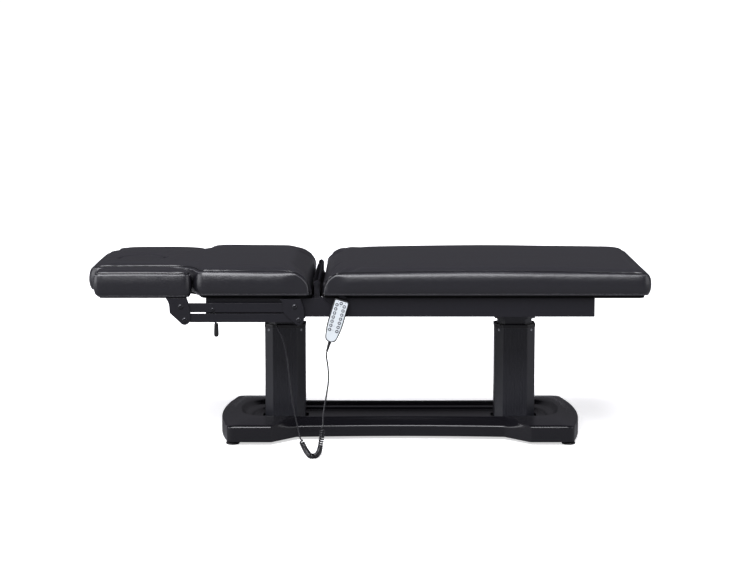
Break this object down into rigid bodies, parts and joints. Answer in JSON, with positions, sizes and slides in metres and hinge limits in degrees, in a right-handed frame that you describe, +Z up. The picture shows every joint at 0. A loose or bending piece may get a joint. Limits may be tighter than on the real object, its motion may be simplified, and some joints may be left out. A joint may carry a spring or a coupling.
{
  "type": "facial treatment bed",
  "caption": "Electric treatment bed on two telescopic columns, with a tilting head section, face hole, linked armrests and a handset on a curly cord.",
  "frame": {"origin": "on the floor, under the middle of the bed's length and width, with the bed at its lowest height", "axes": "+X along the bed towards the foot end, +Y across the bed away from the handset side, +Z up"},
  "size_m": [1.95, 0.9125, 0.634],
  "materials": {
    "leather": "black upholstery leather, fine grain, soft sheen",
    "ply": "plywood covered in black cloth",
    "coated_steel": "black powder coat, semi-matt",
    "column": "anthracite powder coat, satin",
    "base_plastic": "black moulded plastic, fine texture",
    "black_plastic": "black moulded plastic",
    "foot_rubber": "black rubber",
    "bright_steel": "plain steel",
    "handset_face": "pale silver membrane face",
    "key": "silver-grey round keys",
    "cord": "black cable sheath, semi-gloss"
  },
  "bodies": {
    "base": {"base_cover": "base_plastic", "base_frame": "coated_steel", "head_near_levelling_foot": "foot_rubber", "head_far_levelling_foot": "foot_rubber", "foot_near_levelling_foot": "foot_rubber", "foot_far_levelling_foot": "foot_rubber", "head_lift_motor": "bright_steel", "foot_lift_motor": "bright_steel"},
    "carriage": {"head_inner_tube": "column", "foot_inner_tube": "column", "lift_frame": "coated_steel", "control_box": "black_plastic", "main_board": "ply", "main_cushion": "leather", "hinge_gusset": "leather", "handset_hook": "coated_steel", "cord_gland": "black_plastic", "cord_lead_frame": "cord", "cord_coil": "cord", "cord_lead_handset": "cord"},
    "head_sleeve_stage": {"head_sleeve": "column", "head_collar": "black_plastic"},
    "foot_sleeve_stage": {"foot_sleeve": "column", "foot_collar": "black_plastic"},
    "backrest": {"back_board": "ply", "back_cushion": "leather", "back_frame": "coated_steel", "near_fixed_plate": "coated_steel", "far_fixed_plate": "coated_steel"},
    "actuator_body": {"back_actuator": "black_plastic"},
    "actuator_rod": {"back_actuator_rod": "bright_steel"},
    "face_plug_body": {"face_plug": "leather"},
    "handset": {"handset_case": "black_plastic", "handset_face": "handset_face", "handset_strain_relief": "cord"},
    "near_upper_link": {"near_upper_bar": "coated_steel"},
    "near_lower_link": {"near_lower_bar": "coated_steel"},
    "near_armrest": {"near_pad_bracket": "coated_steel", "near_arm_pad": "leather"},
    "near_lock": {"near_lock_lever": "black_plastic"},
    "far_upper_link": {"far_upper_bar": "coated_steel"},
    "far_lower_link": {"far_lower_bar": "coated_steel"},
    "far_armrest": {"far_pad_bracket": "coated_steel", "far_arm_pad": "leather"},
    "far_lock": {"far_lock_lever": "black_plastic"},
    "button_01": {"key_01": "key"},
    "button_02": {"key_02": "key"},
    "button_03": {"key_03": "key"},
    "button_04": {"key_04": "key"},
    "button_05": {"key_05": "key"},
    "button_06": {"key_06": "key"},
    "button_07": {"key_07": "key"},
    "button_08": {"key_08": "key"},
    "button_09": {"key_09": "key"},
    "button_10": {"key_10": "key"},
    "button_11": {"key_11": "key"},
    "button_12": {"key_12": "key"},
    "button_13": {"key_13": "key"},
    "button_14": {"key_14": "key"},
    "button_15": {"key_15": "key"}
  },
  "joints": [
    {"name": "lift", "type": "slide", "parent": "base", "child": "carriage", "axis": [0, 0, 1], "range_m": [0, 0.292]},
    {"name": "head_sleeve_lift", "type": "slide", "parent": "base", "child": "head_sleeve_stage", "axis": [0, 0, 1], "range_m": [0, 0.146]},
    {"name": "foot_sleeve_lift", "type": "slide", "parent": "base", "child": "foot_sleeve_stage", "axis": [0, 0, 1], "range_m": [0, 0.146]},
    {"name": "back_tilt", "type": "hinge", "parent": "carriage", "child": "backrest", "pos_m": [-0.1825, 0, 0.574], "axis": [0, 1, 0], "range_deg": [0, 75]},
    {"name": "actuator_swing", "type": "hinge", "parent": "carriage", "child": "actuator_body", "pos_m": [0.43, 0, 0.487], "axis": [0, 1, 0], "range_deg": [-1, 0]},
    {"name": "actuator_extend", "type": "slide", "parent": "actuator_body", "child": "actuator_rod", "axis": [-0.9992, 0, 0.0394], "range_m": [0, 0.104]},
    {"name": "face_plug_lift", "type": "slide", "parent": "backrest", "child": "face_plug_body", "axis": [0, 0, 1], "range_m": [0, 0.12]},
    {"name": "handset_unhook", "type": "slide", "parent": "carriage", "child": "handset", "axis": [0.286, 0, 0.9582], "range_m": [0, 0.008]},
    {"name": "near_armrest_lower", "type": "hinge", "parent": "backrest", "child": "near_upper_link", "pos_m": [-0.258, -0.3659, 0.502], "axis": [0, -1, 0], "range_deg": [0, 28]},
    {"name": "near_lower_link_swing", "type": "hinge", "parent": "backrest", "child": "near_lower_link", "pos_m": [-0.2445, -0.3659, 0.456], "axis": [0, -1, 0], "range_deg": [0, 28]},
    {"name": "near_armrest_level", "type": "hinge", "parent": "near_upper_link", "child": "near_armrest", "pos_m": [-0.65, -0.3659, 0.502], "axis": [0, -1, 0], "range_deg": [-28, 0]},
    {"name": "near_lock_turn", "type": "hinge", "parent": "near_upper_link", "child": "near_lock", "pos_m": [-0.54, -0.3659, 0.492], "axis": [0, -1, 0], "range_deg": [0, 30]},
    {"name": "far_armrest_lower", "type": "hinge", "parent": "backrest", "child": "far_upper_link", "pos_m": [-0.258, 0.3659, 0.502], "axis": [0, -1, 0], "range_deg": [0, 28]},
    {"name": "far_lower_link_swing", "type": "hinge", "parent": "backrest", "child": "far_lower_link", "pos_m": [-0.2445, 0.3659, 0.456], "axis": [0, -1, 0], "range_deg": [0, 28]},
    {"name": "far_armrest_level", "type": "hinge", "parent": "far_upper_link", "child": "far_armrest", "pos_m": [-0.65, 0.3659, 0.502], "axis": [0, -1, 0], "range_deg": [-28, 0]},
    {"name": "far_lock_turn", "type": "hinge", "parent": "far_upper_link", "child": "far_lock", "pos_m": [-0.54, 0.3659, 0.492], "axis": [0, -1, 0], "range_deg": [0, 30]},
    {"name": "key_01_press", "type": "slide", "parent": "handset", "child": "button_01", "axis": [0, 1, 0], "range_m": [0, 0.001], "stiffness_N_per_m": 300},
    {"name": "key_02_press", "type": "slide", "parent": "handset", "child": "button_02", "axis": [0, 1, 0], "range_m": [0, 0.001], "stiffness_N_per_m": 300},
    {"name": "key_03_press", "type": "slide", "parent": "handset", "child": "button_03", "axis": [0, 1, 0], "range_m": [0, 0.001], "stiffness_N_per_m": 300},
    {"name": "key_04_press", "type": "slide", "parent": "handset", "child": "button_04", "axis": [0, 1, 0], "range_m": [0, 0.001], "stiffness_N_per_m": 300},
    {"name": "key_05_press", "type": "slide", "parent": "handset", "child": "button_05", "axis": [0, 1, 0], "range_m": [0, 0.001], "stiffness_N_per_m": 300},
    {"name": "key_06_press", "type": "slide", "parent": "handset", "child": "button_06", "axis": [0, 1, 0], "range_m": [0, 0.001], "stiffness_N_per_m": 300},
    {"name": "key_07_press", "type": "slide", "parent": "handset", "child": "button_07", "axis": [0, 1, 0], "range_m": [0, 0.001], "stiffness_N_per_m": 300},
    {"name": "key_08_press", "type": "slide", "parent": "handset", "child": "button_08", "axis": [0, 1, 0], "range_m": [0, 0.001], "stiffness_N_per_m": 300},
    {"name": "key_09_press", "type": "slide", "parent": "handset", "child": "button_09", "axis": [0, 1, 0], "range_m": [0, 0.001], "stiffness_N_per_m": 300},
    {"name": "key_10_press", "type": "slide", "parent": "handset", "child": "button_10", "axis": [0, 1, 0], "range_m": [0, 0.001], "stiffness_N_per_m": 300},
    {"name": "key_11_press", "type": "slide", "parent": "handset", "child": "button_11", "axis": [0, 1, 0], "range_m": [0, 0.001], "stiffness_N_per_m": 300},
    {"name": "key_12_press", "type": "slide", "parent": "handset", "child": "button_12", "axis": [0, 1, 0], "range_m": [0, 0.001], "stiffness_N_per_m": 300},
    {"name": "key_13_press", "type": "slide", "parent": "handset", "child": "button_13", "axis": [0, 1, 0], "range_m": [0, 0.001], "stiffness_N_per_m": 300},
    {"name": "key_14_press", "type": "slide", "parent": "handset", "child": "button_14", "axis": [0, 1, 0], "range_m": [0, 0.001], "stiffness_N_per_m": 300},
    {"name": "key_15_press", "type": "slide", "parent": "handset", "child": "button_15", "axis": [0, 1, 0], "range_m": [0, 0.001], "stiffness_N_per_m": 300}
  ],
  "couplings": [
    {"joint": "head_sleeve_lift", "follows": "lift", "ratio": 0.5},
    {"joint": "foot_sleeve_lift", "follows": "lift", "ratio": 0.5},
    {"joint": "actuator_swing", "follows": "back_tilt", "ratio": -0.01044},
    {"joint": "actuator_extend", "follows": "back_tilt", "m_per_rad": 0.07895},
    {"joint": "near_lower_link_swing", "follows": "near_armrest_lower", "ratio": 1},
    {"joint": "near_armrest_level", "follows": "near_armrest_lower", "ratio": -1},
    {"joint": "far_lower_link_swing", "follows": "far_armrest_lower", "ratio": 1},
    {"joint": "far_armrest_level", "follows": "far_armrest_lower", "ratio": -1}
  ]
}
